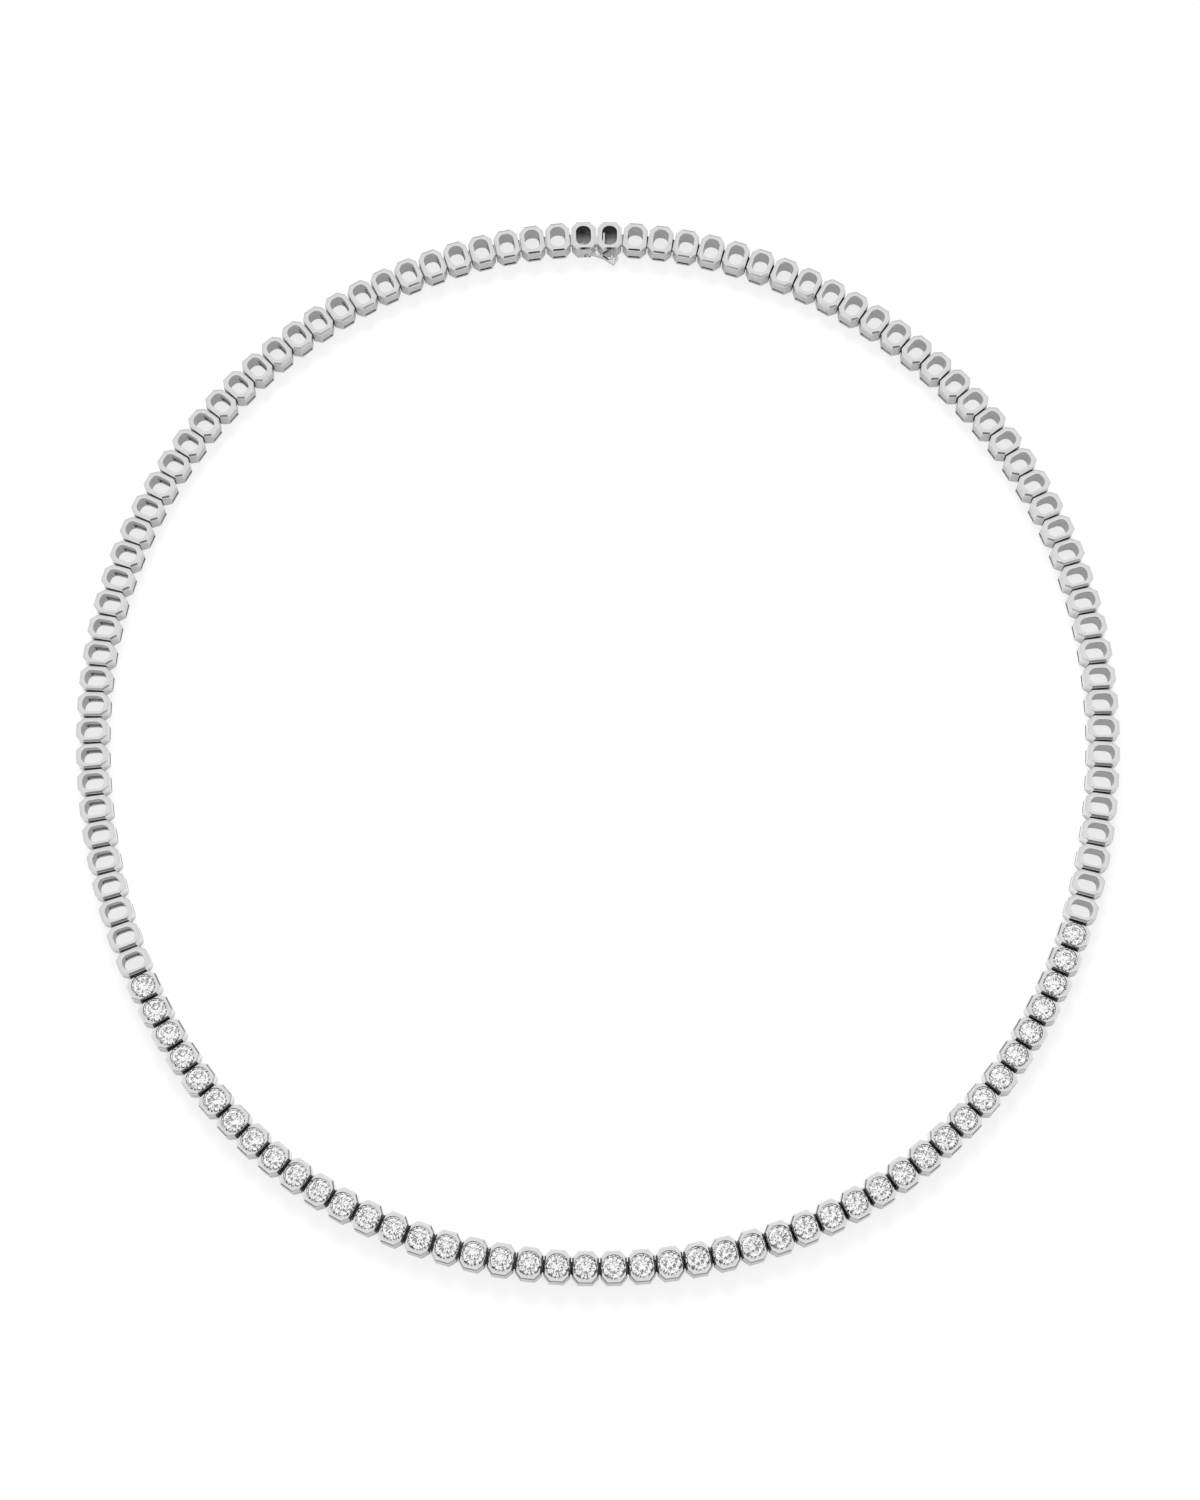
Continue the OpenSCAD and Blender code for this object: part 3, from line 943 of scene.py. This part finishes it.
class RIVIERE_OT_clasp(bpy.types.Operator):
    """Softens the edges of the clasp's two links and of the safety catch, leaves the links' floors satin
    and paints shade on the walls round them in dark gold
    """

    bl_idname = "riviere.clasp"
    bl_label = "Clasp"

    FLOOR_Z = 0.25

    def execute(self, context):
        chain, link, finish = settings("chain", "link", "finish")
        ring = Ring(chain)
        for node, name, body, number in (
            ("clasp_box", "clasp_box_link", "chain", 0),
            ("clasp_tongue", "clasp_tongue_link", "chain", ring.links - 1),
            ("safety_catch", "safety_catch_strip", "catch", 0),
        ):
            bm = self.softened(node, link.soft * 0.6)
            self.mark_inside(bm, link, ring.link(number))
            piece(name, bm, [gold(finish), satin_gold(finish), gold_with_painted_shade(finish)], body, node)
        return {"FINISHED"}

    def softened(self, node, soft):
        """A copy of a solid with its edges rounded. It works in millimetres and gives metres."""
        bm = bmesh.new()
        bm.from_mesh(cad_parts[node].data)
        bmesh.ops.scale(bm, vec=(1 / MM, 1 / MM, 1 / MM), verts=bm.verts)
        bmesh.ops.remove_doubles(bm, verts=bm.verts, dist=0.0005)
        bmesh.ops.dissolve_limit(bm, angle_limit=math.radians(0.8), verts=bm.verts, edges=bm.edges)
        sharp = [e for e in bm.edges if e.is_manifold and e.calc_face_angle(0) > math.radians(24)]
        bmesh.ops.bevel(
            bm, geom=sharp, offset=soft, offset_type="OFFSET", segments=2, profile=0.5,
            affect="EDGES", clamp_overlap=True, material=-1
        )
        shade(bm, STRIP * soft)
        bmesh.ops.scale(bm, vec=(MM, MM, MM), verts=bm.verts)
        return bm

    def mark_inside(self, bm, link, place):
        """Leaves the floor inside a closed link satin, and gives the walls round it dark gold as painted
        shade
        """
        into_link = place.inverted()
        for face in bm.faces:
            middle = into_link @ face.calc_center_median()
            along = abs(middle.x) < link.hole_long / 2 + TOUCH
            within = along and abs(middle.y) < link.hole_across / 2 + TOUCH
            if face.normal.z > 0.9 and abs(middle.z - self.FLOOR_Z) < TOUCH:
                face.material_index = 1
            # the walls round the floor get the dark gold of painted shade
            elif within and abs(face.normal.z) < 0.5 and self.FLOOR_Z < middle.z < link.height - 0.2:
                face.material_index = 2


class RIVIERE_OT_stones(bpy.types.Operator):
    """Gives the brilliants their clear finish"""

    bl_idname = "riviere.stones"
    bl_label = "Brilliants"

    def execute(self, context):
        (finish,) = settings("finish")
        for name in STONE_NODES:
            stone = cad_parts[name]
            for slot in stone.material_slots:
                slot.material = diamond(finish)
        return {"FINISHED"}


GROUPS = {
    "riviere_chain": RiviereChain,
    "riviere_link": RiviereLink,
    "riviere_hinge": RiviereHinge,
    "riviere_setting": RiviereSetting,
    "riviere_finish": RiviereFinish,
    "riviere_stage": RiviereStage,
}
OPERATORS = (
    RIVIERE_OT_stage,
    RIVIERE_OT_open_links,
    RIVIERE_OT_bezel_links,
    RIVIERE_OT_clasp,
    RIVIERE_OT_stones,
)


class RIVIERE_PT_panel(bpy.types.Panel):
    """Lists the necklace's settings and the steps that build it"""

    bl_idname = "RIVIERE_PT_panel"
    bl_label = "Riviere Necklace"
    bl_space_type = "VIEW_3D"
    bl_region_type = "UI"
    bl_category = "Riviere"

    def draw(self, context):
        for name, group in GROUPS.items():
            box = self.layout.box()
            box.label(text=name.removeprefix("riviere_").capitalize())
            for key in group.__annotations__:
                box.prop(getattr(context.scene, name), key)
        for operator in OPERATORS:
            self.layout.operator(operator.bl_idname)


def register():
    for group in GROUPS.values():
        bpy.utils.register_class(group)
    for name, group in GROUPS.items():
        setattr(bpy.types.Scene, name, bpy.props.PointerProperty(type=group))
    for operator in OPERATORS:
        bpy.utils.register_class(operator)
    bpy.utils.register_class(RIVIERE_PT_panel)


def unregister():
    bpy.utils.unregister_class(RIVIERE_PT_panel)
    for operator in reversed(OPERATORS):
        bpy.utils.unregister_class(operator)
    for name in reversed(GROUPS):
        delattr(bpy.types.Scene, name)
    for group in reversed(GROUPS.values()):
        bpy.utils.unregister_class(group)


def main():
    register()
    bpy.ops.riviere.stage()
    bpy.ops.riviere.open_links()
    bpy.ops.riviere.bezel_links()
    bpy.ops.riviere.clasp()
    bpy.ops.riviere.stones()


if __name__ == "__main__":
    main()
